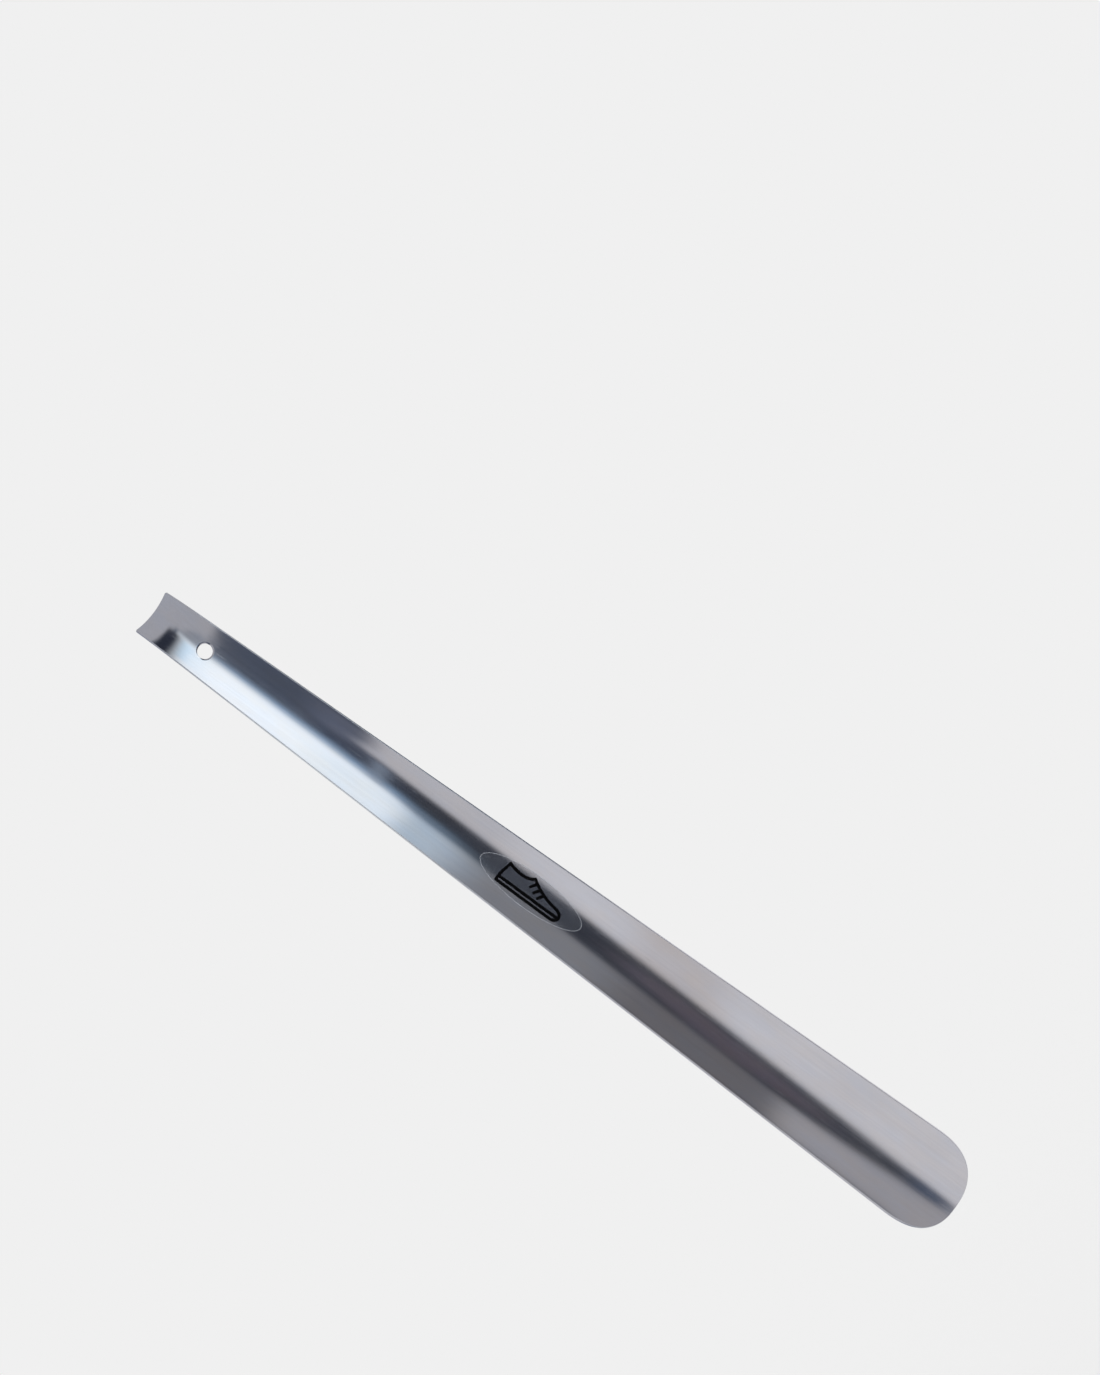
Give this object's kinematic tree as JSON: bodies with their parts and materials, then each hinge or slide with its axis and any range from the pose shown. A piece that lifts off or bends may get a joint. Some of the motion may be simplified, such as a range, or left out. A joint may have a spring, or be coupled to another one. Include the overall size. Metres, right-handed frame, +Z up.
{
  "type": "long shoehorn",
  "caption": "Long tapered metal shoehorn: a shallow brushed steel channel with a wide rounded foot, a hanging hole, a back-curled handle lip and a clear oval label.",
  "frame": {"origin": "centre of the hanging hole, on the floor of the channel's hollow", "axes": "+Z up the blade to the handle end, with the foot pointing down as it hangs; the hollow faces -Y and the back faces +Y; +X across the blade"},
  "size_m": [0.0414, 0.0118, 0.4199],
  "materials": {
    "steel": "stainless sheet, satin, brushed lengthwise",
    "film": "clear self-adhesive film",
    "ink": "dark screen-printed ink"
  },
  "bodies": {
    "root": {"blade": "steel", "label_film": "film", "label_print": "ink"}
  },
  "joints": []
}
